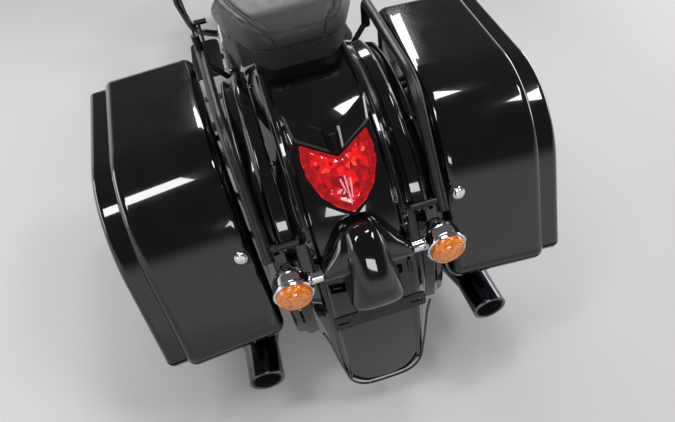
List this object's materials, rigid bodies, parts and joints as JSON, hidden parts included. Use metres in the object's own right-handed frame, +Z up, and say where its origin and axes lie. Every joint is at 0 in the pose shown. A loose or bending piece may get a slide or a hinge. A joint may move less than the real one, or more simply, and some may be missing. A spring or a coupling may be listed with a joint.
{
  "type": "touring motorcycle",
  "caption": "Touring motorcycle with fork-mounted fairing, V-twin engine, hard saddlebags and wide rear fender, parked leaning on its side stand with the steering turned left.",
  "frame": {"origin": "middle of the bounding box on the floor", "axes": "+Y forward, +X to the rider's right, +Z up; the machine leans to -X"},
  "size_m": [1.0071, 2.4185, 1.3591],
  "materials": {
    "gloss_black": "gloss",
    "frame_black": "satin",
    "engine_black": "satin",
    "engine_silver": "machined",
    "chrome": "polished",
    "dark_chrome": "polished",
    "steel": "brushed",
    "rubber": "matte",
    "tyre": "matte",
    "seat_cover": "grained",
    "matt_plastic": "matte",
    "black_plastic": "gloss",
    "red_lens": "clear red",
    "amber_lens": "clear amber",
    "clear_glass": "clear",
    "smoked_screen": "smoked",
    "mirror_black": "gloss"
  },
  "bodies": {
    "chassis": {"drive_belt": "rubber", "swingarm": "frame_black", "rear_axle_and_pivot": "steel", "rear_caliper": "engine_black", "rear_fender": "gloss_black", "cylinders": "engine_black", "cylinder_heads": "engine_black", "rocker_covers": "chrome", "cam_cover_and_pushrods": "chrome", "primary_cover": "chrome", "engine_case": "engine_black", "air_cleaner": "black_plastic", "exhaust_headers": "dark_chrome", "fuel_tank": "gloss_black", "tank_console": "gloss_black", "seat": "seat_cover", "tail_lamp_housing": "black_plastic", "signal_bar": "chrome", "signal_lenses": "amber_lens", "tail_nacelle": "gloss_black", "plate_bracket": "matt_plastic", "saddlebags": "gloss_black", "lid_hinges": "chrome", "red_lenses": "red_lens", "bag_rails": "frame_black", "stays_and_hangers": "frame_black", "mufflers": "dark_chrome", "rear_shocks": "frame_black", "seat_base": "matt_plastic", "side_covers": "gloss_black", "board_arms_and_pedals": "frame_black", "footboards_and_pegs": "rubber", "engine_guards": "gloss_black", "main_frame": "frame_black"},
    "steering": {"front_axle": "steel", "fork_sliders": "gloss_black", "fork_tubes": "chrome", "fork_yokes": "frame_black", "front_calipers": "engine_black", "front_fender": "gloss_black", "handlebar": "frame_black", "hand_grips": "rubber", "control_levers": "engine_black", "mirrors": "mirror_black", "headlamp": "clear_glass", "dash_panel": "matt_plastic", "fairing": "gloss_black", "windshield": "smoked_screen", "front_signal_shells": "chrome", "front_signal_lenses": "amber_lens"},
    "front_wheel": {"front_wheel": "gloss_black", "front_tyre": "tyre", "front_brake_discs": "steel"},
    "rear_wheel": {"rear_wheel": "gloss_black", "rear_tyre": "tyre", "rear_disc_and_pulley": "steel"},
    "left_bag_lid": {"lid_left": "gloss_black"},
    "right_bag_lid": {"lid_right": "gloss_black"},
    "side_stand": {"side_stand": "frame_black"}
  },
  "joints": [
    {"name": "steering", "type": "hinge", "parent": "chassis", "child": "steering", "pos_m": [-0.0532, 0.62259, 0.78891], "axis": [0.1752, 0.4776, -0.8609], "range_deg": [0, 64]},
    {"name": "front_wheel_spin", "type": "hinge", "parent": "steering", "child": "front_wheel", "pos_m": [0.03339, 0.91824, 0.29685], "axis": [0.7806, 0.4656, 0.4171], "continuous": true},
    {"name": "rear_wheel_spin", "type": "hinge", "parent": "chassis", "child": "rear_wheel", "pos_m": [0.04488, -0.74644, 0.30684], "axis": [0.9799, 0, 0.1994], "continuous": true},
    {"name": "right_lid_hinge", "type": "hinge", "parent": "chassis", "child": "right_bag_lid", "pos_m": [0.47318, -0.84157, 0.54786], "axis": [-0.0107, 0.9115, 0.4111], "range_deg": [0, 80]},
    {"name": "left_lid_hinge", "type": "hinge", "parent": "chassis", "child": "left_bag_lid", "pos_m": [-0.44354, -0.84157, 0.36135], "axis": [0.1508, -0.9115, -0.3826], "range_deg": [0, 80]},
    {"name": "side_stand_pivot", "type": "hinge", "parent": "chassis", "child": "side_stand", "pos_m": [-0.07372, 0.15243, 0.13742], "axis": [-0.5673, 0.0205, 0.8233], "range_deg": [0, 89.3]}
  ]
}
